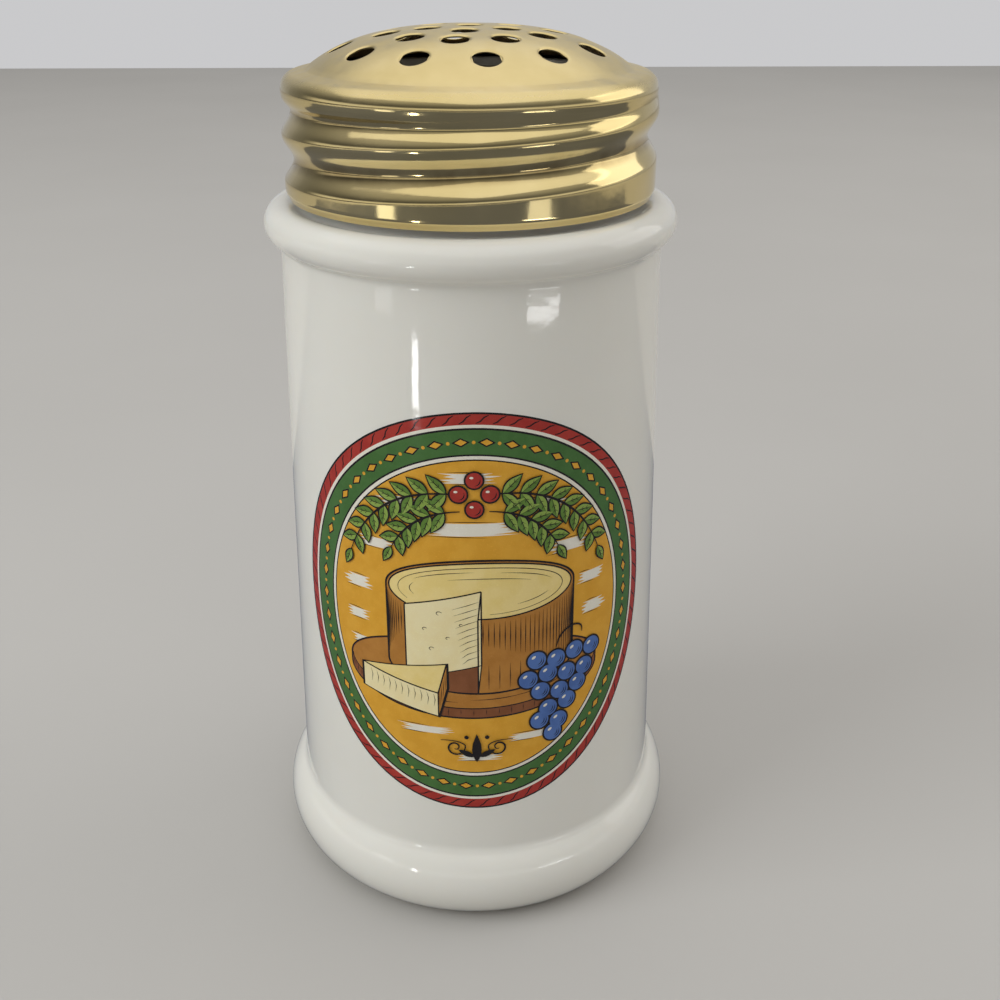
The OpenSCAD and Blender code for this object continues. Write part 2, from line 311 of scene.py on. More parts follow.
def dents(tree, height, distance, strength, under_it=None):
    """A bump of real depth, in metres. It can lie on another bump."""
    node = tree.nodes.new("ShaderNodeBump")
    node.inputs["Strength"].default_value = strength
    node.inputs["Distance"].default_value = distance
    tree.links.new(height, node.inputs["Height"])
    if under_it:
        tree.links.new(under_it, node.inputs["Normal"])
    return node.outputs["Normal"]


def height_of(tree):
    """Height above the table, in metres."""
    place = tree.nodes.new("ShaderNodeTexCoord")
    split = tree.nodes.new("ShaderNodeSeparateXYZ")
    tree.links.new(place.outputs["Object"], split.inputs["Vector"])
    return split.outputs["Z"]


glaze_colours = (0.80, 0.78, 0.705), (0.85, 0.835, 0.77)
clay_colours = (0.60, 0.52, 0.42), (0.80, 0.74, 0.64)
wiped_height = 0.0002, 0.0011
glaze_roughness = 0.035, 0.065
clay_roughness = 0.85
glass_ior = 1.52
casting_depth = 0.0006
glaze_ripple = 0.00006


def glaze_material():
    """Glossy white glaze: faintly uneven in thickness, and bare clay where the foot stands."""
    material, tree = new_material("white_glaze")
    white = mixed(tree, grain(tree, 38, 4), *glaze_colours)
    bare = remap(tree, height_of(tree), *wiped_height, 1, 0)
    clay = mixed(tree, grain(tree, 2600, 5), *clay_colours)
    feed(tree, "Base Color", mixed(tree, bare, white, clay))
    sheen = remap(tree, grain(tree, 160), 0.3, 0.7, *glaze_roughness)
    rough = tree.nodes.new("ShaderNodeMix")
    tree.links.new(bare, rough.inputs["Factor"])
    tree.links.new(sheen, rough.inputs["A"])
    rough.inputs["B"].default_value = clay_roughness
    feed(tree, "Roughness", rough.outputs["Result"])
    feed(tree, "IOR", glass_ior)
    feed(tree, "Subsurface Weight", 0.12)
    feed(tree, "Subsurface Radius", (0.0015, 0.0012, 0.0009))
    feed(tree, "Subsurface Scale", 1.0)
    casting = dents(tree, grain(tree, 42, 2), casting_depth, 0.15)
    skin = dents(tree, grain(tree, 420, 2), glaze_ripple, 0.25, casting)
    feed(tree, "Normal", skin)
    return material


jar.data.materials.append(glaze_material())
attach(jar, "jar")
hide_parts("shaker_body")

# The printed panel
# A transfer printed in flat inks, laid on the front of the glaze and fired in. Each ink is a film on
# top of the one before it: black shows round the colours that lie on it, and pen lines go on top.
mm = 0.001
panel_middle = 68
ink_step = 0.010
ink_film = 0.008
panel_seat = 0.02
ink_join = 0.001
cut_across = 1.0
cut_up = 6.0
thinnest = 0.12
ink_roughness = 0.09


def ellipse(x, y, a, b, points, start=0, end=360):
    """Points on an oval, or on part of one, in degrees."""
    steps = points if end - start == 360 else points + 1
    turns = [radians(start + (end - start) * i / points) for i in range(steps)]
    return [(x + a * cos(t), y + b * sin(t)) for t in turns]


def moved(points, x, y, turn, size=1):
    """A small drawing put in its place, turned by degrees."""
    c, s = cos(radians(turn)) * size, sin(radians(turn)) * size
    return [(x + px * c - py * s, y + px * s + py * c) for px, py in points]


def leaf(x, y, length, width, turn, points=9):
    """A pointed leaf that starts at x, y."""
    upper = [(length * i / points, width / 2 * sin(pi * (i / points) ** 0.85))
             for i in range(points + 1)]
    lower = [(px, -py) for px, py in reversed(upper[1:-1])]
    return moved(upper + lower, x, y, turn)


def stroke(path, width, taper=0.0):
    """A pen line along a path, as a strip of small faces. With taper 1 it ends in points."""
    edges = []
    for i, (x, y) in enumerate(path):
        before, after = path[max(i - 1, 0)], path[min(i + 1, len(path) - 1)]
        dx, dy = after[0] - before[0], after[1] - before[1]
        size = hypot(dx, dy)
        swell = sin(pi * i / (len(path) - 1))
        half = width / 2 * max(1 - taper + taper * swell, thinnest)
        out_x, out_y = dy / size * half, dx / size * half
        edges.append(((x - out_x, y + out_y), (x + out_x, y - out_y)))
    return [[first[0], first[1], second[1], second[0]] for first, second in zip(edges, edges[1:])]


def bow(start, bend, end, points):
    """Points on a curve from start to end that is drawn towards bend."""
    path = []
    for i in range(points + 1):
        t = i / points
        path.append(tuple((1 - t) ** 2 * a + 2 * t * (1 - t) * b + t * t * c
                          for a, b, c in zip(start, bend, end)))
    return path


def dots(places, radius, points):
    """Round spots of one size."""
    return [ellipse(x, y, radius, radius, points) for x, y, *_ in places]


def onto_wall(x, y, lift):
    """A point of the flat drawing, in millimetres, laid on the jar's wall."""
    radius = wall_radius(y * mm)
    angle = x * mm / radius
    out = radius + lift * mm
    return out * sin(angle), -out * cos(angle), y * mm


def ink_material(name, colour, second):
    """Fired ink under the gloss of the glaze, slightly uneven as screen-printed colour is."""
    material, tree = new_material(name)
    cloud = grain(tree, 300, 4)
    fleck = remap(tree, grain(tree, 3800, 2), 0.58, 0.72, 0, 0.35)
    plain = mixed(tree, remap(tree, cloud, 0.35, 0.65, 0, 1), colour, second)
    pale = [min(1, c * 1.25 + 0.02) for c in colour]
    feed(tree, "Base Color", mixed(tree, fleck, plain, pale))
    feed(tree, "Roughness", ink_roughness)
    feed(tree, "IOR", glass_ior)
    feed(tree, "Normal", dents(tree, grain(tree, 420, 2), glaze_ripple, 0.25))
    return material


black_ink = ink_material("black_ink", (0.013, 0.010, 0.009), (0.020, 0.015, 0.012))
red_ink = ink_material("brick_red_ink", (0.38, 0.035, 0.024), (0.43, 0.045, 0.030))
green_ink = ink_material("forest_green_ink", (0.060, 0.150, 0.036), (0.072, 0.172, 0.045))
leaf_ink = ink_material("leaf_ink", (0.115, 0.215, 0.035), (0.135, 0.245, 0.045))
young_leaf_ink = ink_material("young_leaf_ink", (0.250, 0.370, 0.070), (0.280, 0.400, 0.085))
mustard_ink = ink_material("mustard_ink", (0.71, 0.355, 0.030), (0.76, 0.395, 0.042))
cream_ink = ink_material("cream_ink", (0.82, 0.78, 0.66), (0.85, 0.81, 0.71))
cheese_ink = ink_material("pale_cheese_ink", (0.85, 0.66, 0.24), (0.88, 0.70, 0.29))
paste_ink = ink_material("cut_cheese_ink", (0.87, 0.74, 0.40), (0.89, 0.78, 0.46))
rind_ink = ink_material("rind_ink", (0.43, 0.185, 0.032), (0.49, 0.220, 0.042))
wood_ink = ink_material("board_ink", (0.210, 0.075, 0.026), (0.250, 0.092, 0.034))
blue_ink = ink_material("grape_blue_ink", (0.075, 0.150, 0.400), (0.095, 0.185, 0.470))
ink_level = 0


def new_object(name, data):
    """A new object in the scene."""
    piece = bpy.data.objects.new(name, data)
    bpy.context.collection.objects.link(piece)
    return piece


def print_ink(name, shapes, material):
    """Prints one film of ink: flat shapes, cut into strips, laid on the wall and given their thickness.
    A shape is an outline, or a list of outlines that join."""
    global ink_level
    lift = panel_seat + ink_step * ink_level
    ink_level += 1
    drawing = bmesh.new()
    for shape in shapes:
        for outline in shape if isinstance(shape[0], list) else [shape]:
            drawing.faces.new([drawing.verts.new((x, y, 0)) for x, y in outline])
    bmesh.ops.remove_doubles(drawing, verts=drawing.verts, dist=ink_join)
    bmesh.ops.triangulate(drawing, faces=drawing.faces)
    for way, spacing in (Vector((1, 0, 0)), cut_across), (Vector((0, 1, 0)), cut_up):
        reach = [v.co.dot(way) for v in drawing.verts]
        for i in range(ceil(min(reach) / spacing), floor(max(reach) / spacing) + 1):
            geometry = drawing.verts[:] + drawing.edges[:] + drawing.faces[:]
            bmesh.ops.bisect_plane(drawing, geom=geometry, plane_co=way * i * spacing, plane_no=way)
    bmesh.ops.recalc_face_normals(drawing, faces=drawing.faces)
    for face in drawing.faces:
        if face.normal.z < 0:
            face.normal_flip()
    for vertex in drawing.verts:
        vertex.co = onto_wall(vertex.co.x, vertex.co.y, lift)
    mesh = bpy.data.meshes.new("print_" + name)
    drawing.to_mesh(mesh)
    drawing.free()
    film = new_object("print_" + name, mesh)
    take(film)
    solid = film.modifiers.new("film", "SOLIDIFY")
    solid.thickness = ink_film * mm
    solid.offset = -1
    bpy.ops.object.modifier_apply(modifier="film")
    bpy.ops.object.shade_smooth()
    # Both faces of the film take the wall's own normals, so that the gloss runs over it unbroken.
    normals = []
    for polygon in film.data.polygons:
        facing = polygon.normal.dot(Vector((polygon.center.x, polygon.center.y, 0)).normalized())
        for index in polygon.vertices:
            point = film.data.vertices[index].co
            outward = Vector((point.x, point.y, wall_slope * hypot(point.x, point.y))).normalized()
            if abs(facing) > 0.5:
                normals.append(outward if facing > 0 else -outward)
            else:
                normals.append(polygon.normal)
    film.data.normals_split_custom_set(normals)
    film.data.materials.append(material)
    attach(film, "jar")
    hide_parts("front_panel")


# The frame of the panel: a red rope, a green band set with lozenges, and thin lines between them.
panel_half = (37.0, 40.5)


def oval(inset):
    """The panel's outline, drawn in by a distance."""
    return ellipse(0, panel_middle, panel_half[0] - inset, panel_half[1] - inset, 144)


def around(count, inset, first=0.0):
    """Evenly spaced places on the panel's frame: x, y and the direction along it in degrees."""
    a, b = panel_half[0] - inset, panel_half[1] - inset
    places = []
    for i in range(count):
        t = 2 * pi * (i + first) / count
        along = degrees(atan2(b * cos(t), -a * sin(t)))
        places.append((a * cos(t), panel_middle + b * sin(t), along))
    return places


rope_turns = 78
rope_inset, rope_middle = 0.35, 1.25
fillet_inset = 2.2
band_edge_inset, band_inset, band_middle = 2.75, 3.1, 5.3
lozenges = 46
dot_radius = 0.32
inner_edge_inset, inner_line_inset = 7.45, 7.75
ground_edge_inset, ground_inset = 8.35, 8.6
print_ink("edge", [oval(0)], black_ink)
print_ink("rope", [oval(rope_inset)], red_ink)
rope_mark = [(-1.05, -0.75), (-0.3, -0.35), (0.3, 0.35), (1.05, 0.75)]
rope_marks = [stroke(moved(rope_mark, x, y, a), 0.26, 0.5) for x, y, a in around(rope_turns, rope_middle)]
print_ink("rope_marks", rope_marks, black_ink)
print_ink("fillet", [oval(fillet_inset)], cream_ink)
print_ink("band_edge", [oval(band_edge_inset)], black_ink)
print_ink("band", [oval(band_inset)], green_ink)
lozenge = [(-1.15, 0), (0, -0.62), (1.15, 0), (0, 0.62)]
places = around(lozenges, band_middle)
print_ink("lozenge_edges", [moved(lozenge, *place, 1.35) for place in places], black_ink)
lozenge_inks = [moved(lozenge, *place, 0.9) for place in places]
lozenge_inks += dots(around(lozenges, band_middle, 0.5), dot_radius, 12)
print_ink("lozenges", lozenge_inks, mustard_ink)
print_ink("inner_edge", [oval(inner_edge_inset)], black_ink)
print_ink("inner_line", [oval(inner_line_inset)], cream_ink)
print_ink("ground_edge", [oval(ground_edge_inset)], black_ink)
print_ink("ground", [oval(ground_inset)], mustard_ink)

# Cream strokes on the mustard ground, as a dry brush leaves them.
brush = random.Random(7)


def brush_stroke(x, y, length, height, prongs):
    """A flat stroke with ragged ends."""
    rows = [y + height * (k / (prongs - 1) - 0.5) for k in range(prongs)]
    reach = [length / 2 * (0.62 + 0.38 * brush.random()) for _ in range(2 * prongs)]
    right, left = [], []
    ends = (right, 1, reach[:prongs], 0.04), (left, -1, reach[prongs:], -0.03)
    for k, row in enumerate(rows):
        for edge, side, tips, shift in ends:
            edge.append((x + side * tips[k], row + shift))
            if k < prongs - 1:
                notch = min(tips[k:k + 2]) * (0.45 + 0.25 * brush.random())
                edge.append((x + side * notch, (row + rows[k + 1]) / 2))
    return right + left[::-1]


streak_rows = [
    (-1, 96.6, 13, 1.8, 4), (-13.5, 91.4, 9, 2.0, 4), (12.5, 91.0, 10, 2.2, 5), (-1, 87.0, 22, 2.4, 5),
    (-18.5, 82.6, 9, 1.8, 4), (17.5, 82.0, 11, 2.2, 4), (-22.5, 73.8, 7, 2.2, 4), (22.5, 74.4, 7, 2.0, 4),
    (-23.0, 67.0, 7, 1.8, 4), (23.0, 68.0, 7, 2.2, 4), (-22.6, 61.6, 5, 1.4, 3),
    (-10, 45.2, 12, 1.4, 4), (10, 43.4, 11, 1.4, 4), (0, 39.4, 10, 1.2, 3),
]
print_ink("streaks", [brush_stroke(*row) for row in streak_rows], cream_ink)
pen_rows = []
for x, y, length, height, _ in streak_rows:
    for lean in (-0.62, 0.58):
        start = x + length * (0.25 * brush.random() - 0.45)
        end = start + length * (0.35 + 0.2 * brush.random())
        row = y + height * lean
        middle = ((start + end) / 2, row + 0.25)
        pen_rows.append(stroke(bow((start, row), middle, (end, row - 0.05), 6), 0.13, 1))
print_ink("streak_lines", pen_rows, black_ink)

# The round board that the cheese stands on, with its grain.
board_x, board_y, board_a, board_b, board_thick = -0.5, 58.0, 24.3, 7.6, 1.9


def drum(x, y, a, b, depth):
    """The outline of a round thing seen aslant: the far half of its top and the near half of its foot."""
    return ellipse(x, y, a, b, 48, 0, 180) + ellipse(x, y - depth, a, b, 48, 180, 360)


print_ink("board_edge", [drum(board_x, board_y, board_a + 0.35, board_b + 0.35, board_thick)], black_ink)
print_ink("board_side", [drum(board_x, board_y, board_a, board_b, board_thick)], wood_ink)
print_ink("board_top", [ellipse(board_x, board_y, board_a - 0.15, board_b - 0.1, 96)], rind_ink)
board_grain = [stroke(ellipse(board_x, board_y, board_a - 0.1, board_b - 0.05, 48, 180, 360), 0.22)]
for k, (low, high) in enumerate(((188, 232), (240, 262), (268, 300), (305, 350), (196, 246), (284, 338))):
    inset = 1.6 + 1.5 * (k % 3)
    ring = ellipse(board_x, board_y, board_a - inset, board_b - inset * 0.42, 16, low, high)
    board_grain.append(stroke(ring, 0.16, 1))
for x, y in ellipse(board_x, board_y - 0.25, board_a - 0.1, board_b - 0.05, 30, 186, 354)[:30]:
    low = y - board_thick * (0.55 + 0.35 * brush.random())
    board_grain.append(stroke([(x, y), (x, y - 0.6), (x, low)], 0.12, 1))
print_ink("board_grain", board_grain, black_ink)

# A wheel of hard cheese with a wedge taken out of its front.
wheel_x, wheel_top, wheel_a, wheel_b, wheel_height = 1.0, 75.0, 17.2, 5.9, 15.2
cut_start, cut_end = 216, 268


def wheel_point(angle, drop=0.0, inset=0.0):
    """A point on the wheel's upper edge, or below it or inside it."""
    turn = radians(angle)
    along, up = (wheel_a - inset) * cos(turn), (wheel_b - inset * 0.6) * sin(turn)
    return wheel_x + along, wheel_top + up - drop


def grown(shape, width):
    """A convex shape with its outline moved out by a width."""
    count = len(shape)
    middle = (sum(p[0] for p in shape) / count, sum(p[1] for p in shape) / count)
    bigger = []
    for x, y in shape:
        size = hypot(x - middle[0], y - middle[1])
        bigger.append((x + (x - middle[0]) / size * width, y + (y - middle[1]) / size * width))
    return bigger


wheel_body = drum(wheel_x, wheel_top, wheel_a, wheel_b, wheel_height)
centre_top, centre_low = (wheel_x, wheel_top), (wheel_x, wheel_top - wheel_height)
left_top, left_low = wheel_point(cut_start), wheel_point(cut_start, wheel_height)
right_top, right_low = wheel_point(cut_end), wheel_point(cut_end, wheel_height)
cut_left = [centre_top, left_top, left_low, centre_low]
cut_right = [centre_top, centre_low, right_low, right_top]
cut_angles = [cut_start + (cut_end - cut_start) * i / 8 for i in range(9)]
cut_floor = [centre_low] + [wheel_point(angle, wheel_height) for angle in cut_angles]
print_ink("wheel_edge", [grown(wheel_body, 0.4)], black_ink)
print_ink("wheel_rind", [wheel_body], rind_ink)
print_ink("wheel_top", [ellipse(wheel_x, wheel_top, wheel_a - 0.5, wheel_b - 0.4, 72)], cheese_ink)
print_ink("wheel_floor", [grown(cut_floor, 0.1)], wood_ink)
print_ink("wheel_cut", [cut_left, cut_right], paste_ink)

wheel_lines = [
    stroke(ellipse(wheel_x, wheel_top, wheel_a - 0.4, wheel_b - 0.3, 60, cut_end, cut_start + 360), 0.28),
    stroke(ellipse(wheel_x, wheel_top, wheel_a - 2.2, wheel_b - 1.2, 60, cut_end + 8, cut_start + 352),
           0.14, 0.6),
]
wheel_lines += [stroke([centre_top, end], 0.26) for end in (centre_low, left_top, right_top)]
wheel_lines += [stroke(side, 0.28) for side in ([left_top, left_low], [right_top, right_low])]
wheel_lines += [stroke([centre_low, end], 0.2) for end in (left_low, right_low)]


def below(point, drop):
    """The point that lies straight below another."""
    return point[0], point[1] - drop


def hatch(start, drop, width):
    """A pen line that runs straight down and ends in a point."""
    return stroke([start, below(start, drop / 2), below(start, drop)], width, 1)


for i in range(26):
    angle = cut_end + 3 + i * 3.35
    wheel_lines.append(hatch(wheel_point(angle, 0.5), wheel_height * (0.30 + 0.62 * i / 26), 0.18))
    if i % 2:
        wheel_lines.append(hatch(wheel_point(angle, wheel_height * 0.62), wheel_height * 0.34, 0.14))
for i in range(9):
    wheel_lines.append(hatch(wheel_point(184 + i * 3.5, 0.5), wheel_height * (0.85 - 0.06 * i), 0.16))
for i in range(10):
    y = wheel_top - 2.0 - i * 1.25
    dash = [(wheel_x - 0.3, y), (wheel_x - 2.4, y - 0.75), (wheel_x - 5.2 + i * 0.2, y - 1.7)]
    wheel_lines.append(stroke(dash, 0.14, 1))
eyes = (-7.5, -4.6, 0.5), (-10.2, -8.0, 0.4), (-6.0, -9.6, 0.35), (-9.0, -12.0, 0.45), (-3.6, -6.8, 0.3)
for x, y, size in eyes:
    hole = ellipse(wheel_x + x, wheel_top + y, size, size * 0.7, 10, 20, 260)
    wheel_lines.append(stroke(hole, 0.14, 0.5))
for low, high, inset in (20, 75, 3.6), (95, 150, 3.4), (40, 120, 5.6), (300, 340, 4.2), (160, 200, 4.4):
    mark = [wheel_point(low + (high - low) * i / 10, 0, inset) for i in range(11)]
    wheel_lines.append(stroke(mark, 0.13, 1))
print_ink("wheel_lines", wheel_lines, black_ink)

# The wedge that was cut out lies in front of the wheel.
wedge_height = 5.0
wedge_tip, wedge_near, wedge_far = wedge_top = [(-22.0, 57.0), (-7.0, 53.6), (-5.4, 59.8)]
tip_low, near_low, far_low = [below(corner, wedge_height) for corner in wedge_top]
print_ink("wedge_edge", [grown([wedge_tip, tip_low, near_low, far_low, wedge_far], 0.5)], black_ink)
print_ink("wedge_top", [wedge_top], cheese_ink)
print_ink("wedge_side", [[wedge_tip, tip_low, near_low, wedge_near]], paste_ink)
print_ink("wedge_rind", [[wedge_near, near_low, far_low, wedge_far]], rind_ink)
wedge_edges = [wedge_tip, wedge_near], [wedge_near, near_low], [wedge_near, wedge_far]
wedge_lines = [stroke(edge, 0.26) for edge in wedge_edges]
for i in range(11):
    x = wedge_tip[0] + 1.6 + i * 1.25
    y = wedge_tip[1] - 0.9 - i * 0.27
    wedge_lines.append(stroke([(x, y), (x + 0.3, y - 1.3), (x + 0.1, y - 2.8 + 0.1 * (i % 3))], 0.13, 1))
for i in range(4):
    x = wedge_near[0] + 0.3 + i * 0.35
    wedge_lines.append(hatch((x, wedge_near[1] + 0.4 + i * 1.3), 3.6, 0.12))
print_ink("wedge_lines", wedge_lines, black_ink)

# A bunch of blue grapes hangs over the board's edge, on the other side.
grape_radius = 1.78
grape_gap = 0.34
grape_step = 3.85
grape_rows = ((4, 11.2, 59.6), (4, 9.6, 56.0), (3, 12.0, 52.6), (2, 13.6, 49.2), (2, 11.9, 46.0),
              (1, 14.6, 43.4))
grapes = [(x + grape_step * k, y + 0.45 * sin(2.1 * k + y))
          for count, x, y in grape_rows for k in range(count)]
print_ink("grape_edges", dots(grapes, grape_radius + grape_gap, 28), black_ink)
print_ink("grapes", dots(grapes, grape_radius, 28), blue_ink)
grape_shade = [stroke(ellipse(x, y, grape_radius * k, grape_radius * k, 10, 280, 380), 0.17, 1)
               for x, y in grapes for k in (0.52, 0.76)]
tendril = bow((15.0, 61.6), (15.6, 65.0), (18.6, 65.4), 10)
tendril += bow((18.6, 65.4), (20.8, 65.2), (20.4, 63.4), 8)[1:]
grape_shade.append(stroke(tendril, 0.4, 0.6))
print_ink("grape_shade", grape_shade, black_ink)
grape_light = [moved(ellipse(0, 0, 0.46, 0.26, 12), x - 0.62, y + 0.72, 35) for x, y in grapes]
print_ink("grape_lights", grape_light, cream_ink)

# Leafy sprigs bend over the cheese from the top of the panel, with red fruit between them.
sprigs = []
for side in (-1, 1):
    sprigs.append(bow((side * 1.5, 93.6), (side * 17, 95.6), (side * 23.6, 79.8), 27))
    sprigs.append(bow((side * 2.5, 90.6), (side * 11, 90.2), (side * 15.0, 82.4), 18))
stems, leaves, veins = [], [], []
for path in sprigs:
    stems.append(stroke(path, 0.42, 0.6))
    for i in range(3, len(path) - 1, 3):
        for lean in (46, -46):
            turn = heading(path[i], path[i + 1]) + lean
            leaves.append((*path[i], 4.7 - 1.5 * i / len(path), 1.75, turn))
    leaves.append((*path[-1], 3.2, 1.4, heading(path[-2], path[-1])))


def along_leaf(x, y, turn, reach):
    """A point at a distance from a leaf's foot."""
    return x + cos(radians(turn)) * reach, y + sin(radians(turn)) * reach


leaf_edges, half_leaves = [], []
for x, y, length, width, turn in leaves:
    leaf_edges.append(leaf(*along_leaf(x, y, turn, -0.25), length + 0.6, width + 0.6, turn))
    upper_half = [point for point in leaf(0, 0, length, width, 0) if point[1] >= -0.001]
    half_leaves.append(moved(upper_half, x, y, turn))
    veins.append(stroke([along_leaf(x, y, turn, length * share) for share in (0.05, 0.5, 0.9)], 0.16, 1))
    for share in (0.35, 0.6):
        foot = along_leaf(x, y, turn, length * share)
        for lean in (40, -40):
            vein = [along_leaf(*foot, turn + lean, reach) for reach in (0, 0.35, 0.7)]
            veins.append(stroke(vein, 0.1, 1))
print_ink("leaf_edges", leaf_edges, black_ink)
print_ink("leaves", [leaf(*one) for one in leaves], leaf_ink)
print_ink("half_leaves", half_leaves, young_leaf_ink)
print_ink("stems", stems + veins, black_ink)
fruit = [(0, 91.0), (-2.7, 93.8), (2.7, 93.8), (0, 96.4)]
print_ink("fruit_edges", dots(fruit, 1.75, 24), black_ink)
print_ink("fruit", dots(fruit, 1.42, 24), red_ink)
fruit_shade = [stroke(ellipse(x, y, 1.0, 1.0, 10, 270, 380), 0.2, 1) for x, y in fruit]
print_ink("fruit_shade", fruit_shade, black_ink)
print_ink("fruit_lights", [ellipse(x - 0.45, y + 0.5, 0.34, 0.22, 12) for x, y in fruit], cream_ink)


# Pen scrolls close the bottom of the panel.
def scroll(x, y, size, side):
    """A pen scroll: a spiral with a long tail."""
    path = []
    for i in range(34):
        turn = radians(-60 - 15 * i)
        reach = size * (0.14 + 0.86 * i / 33)
        path.append((x + side * reach * cos(turn), y + reach * sin(turn)))
    x, y = path[-1]
    path += bow((x, y), (x + side * size * 0.5, y + 1.3), (x + side * size * 2.4, y + 1.0), 8)[1:]
    return stroke(path, 0.36, 0.6)


scrolls = [scroll(side * 4.0, 41.9, 1.9, side) for side in (-1, 1)]
scrolls += [leaf(0, 38.6, 6.4, 1.8, 90), leaf(-0.5, 39.8, 3.4, 1.2, 152), leaf(0.5, 39.8, 3.4, 1.2, 28)]
scrolls += dots([(-1.9, 44.2), (1.9, 44.2)], 0.42, 16)
print_ink("scrolls", scrolls, black_ink)

# The sealing ring
# A flat washer stamped from soft closed-cell foam sheet. It sits loose in the top of the cap and is
# pressed onto the jar's lip when the cap is screwed down.
ring_low, ring_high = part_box("seal_ring")
ring_outer = ring_high.x
ring_inner = 0.027
ring_edge = 0.00025
ring_sides = 144
foam_colours = (0.46, 0.43, 0.37), (0.58, 0.55, 0.48)
pore_depth = 0.00012
inner, outer = ring_inner + ring_edge, ring_outer - ring_edge
bottom, top = ring_low.z + ring_edge, ring_high.z - ring_edge
ring_outline = []
for radius, height, start in (outer, bottom, -90), (outer, top, 0), (inner, top, 90), (inner, bottom, 180):
    ring_outline += arc((radius, height), ring_edge, start, start + 90, steps=4)
ring_outline.append(ring_outline[0])
seal = raise_rings("seal", ring_outline, ring_sides)
close_and_smooth(seal, 60)
material, tree = new_material("white_foam")
pores = grain(tree, 2200, 4)
feed(tree, "Base Color", mixed(tree, pores, *foam_colours))
feed(tree, "Roughness", 0.75)
feed(tree, "Normal", dents(tree, pores, pore_depth, 0.6))
seal.data.materials.append(material)
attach(seal, "seal")
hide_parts("seal_ring")

# The cap
# One pressing of thin sheet metal under gold lacquer: a low dome punched with shaker holes, a rounded
# rim, and a skirt with the thread rolled into it and its edge turned in.
cap_low, cap_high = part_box("screw_cap")
cap_sides = 240
sheet = 0.00045
rim_radius = 0.0325
rim_bead = 0.0026
rim_centre = (rim_radius - rim_bead, cap_low.z + 0.0179)
dome_radius = 0.028
crease_height = rim_centre[1] + rim_bead + 0.0005
dome_rise = cap_high.z - crease_height
dome_square = 0.42
dome_fourth = 0.58
edge_turn = 0.00055
edge_turn_height = 0.0014
band_height = 0.002
roll_crest = 0.0328
roll_valley = 0.0310
groove_start = -210
groove_end = 435
groove_runout = 45
grow_share = 0.27
rim_grow_share = 0.36
rim_low_share = 0.20
rim_low = rim_centre[1] - rim_low_share * rim_bead
rim_low_radius = rim_centre[0] + sqrt(rim_bead ** 2 - (rim_low - rim_centre[1]) ** 2)
hole_radius = 0.0024
hole_rings = ((0, 1, 0), (0.0077, 6, -6), (0.0144, 11, -9), (0.0219, 12, 7))
hole_points = 40
hole_lip = ((0.0, -0.00024), (0.00010, -0.00009), (0.00028, -0.00001), (0.00060, 0.0))
hole_inside = 0.93
net_spacing = 0.0010
net_clear = 0.55
net_tolerance = 0.0000001
dome_weld = 0.00002
skirt_spacing = 0.0003
gold_colours = (0.715, 0.575, 0.270), (0.775, 0.630, 0.315)
# Colour of the painted shade that darkens the rolled valleys of the skirt.
valley_shade_colour = (0.30, 0.205, 0.085)
gold_roughness = 0.10, 0.33
lacquer_colours = (0.16, 0.095, 0.030), (0.24, 0.150, 0.055)
hammering = 0.00020
brushing = 0.00002


def dome_height(radius):
    """Height of the dome's outside."""
    share = radius / dome_radius
    return cap_high.z - dome_rise * (dome_square * share ** 2 + dome_fourth * share ** 4)


def dome_tilt(radius):
    """How far the dome leans from level, in radians."""
    share = radius / dome_radius
    slope = 2 * dome_square * share + 4 * dome_fourth * share ** 3
    return atan(dome_rise / dome_radius * slope)


def groove_depth(height, angle):
    """Depth of the rolled groove at a height. The angle counts on from turn to turn."""
    off = min(abs(height - thread_middle(angle) - thread_pitch / 2), thread_pitch / 2)
    full = min(ease((angle - groove_start) / groove_runout), ease((groove_end - angle) / groove_runout))
    return (roll_crest - roll_valley) * full * (1 + cos(2 * pi * off / thread_pitch)) / 2


def skirt_radius(height, angle):
    """Outside radius of the skirt: its turned-in edge, plain band, rolled groove and rim, run together."""
    groove = max(groove_depth(height, angle + 360 * turn) for turn in (-1, 0, 1))
    from_band = ease((height - cap_low.z - band_height) / (grow_share * thread_pitch))
    to_rim = ease((height - rim_low) / (rim_grow_share * thread_pitch) + 1)
    edge = edge_turn * (1 - ease((height - cap_low.z) / edge_turn_height))
    return (roll_crest - edge - groove * from_band) * (1 - to_rim) + rim_low_radius * to_rim


crease = (dome_radius, crease_height)
touch = heading(rim_centre, crease) - degrees(acos(rim_bead / dist(rim_centre, crease)))
rim_start = degrees(asin((rim_low - rim_centre[1]) / rim_bead))
skirt_foot = (roll_crest, cap_low.z)
cap_outline = [skirt_foot] + run(skirt_foot, (roll_crest, rim_low), skirt_spacing)
cap_outline += arc(rim_centre, rim_bead, rim_start, touch, steps=26)
cap_outline += run(cap_outline[-1], crease, row_spacing) + [crease]
cap = raise_rings("cap", cap_outline, cap_sides)
for vertex in cap.data.vertices:
    if vertex.co.z < rim_low:
        across = hypot(vertex.co.x, vertex.co.y)
        grow = skirt_radius(vertex.co.z, front_angle(vertex.co)) / across
        vertex.co.x *= grow
        vertex.co.y *= grow

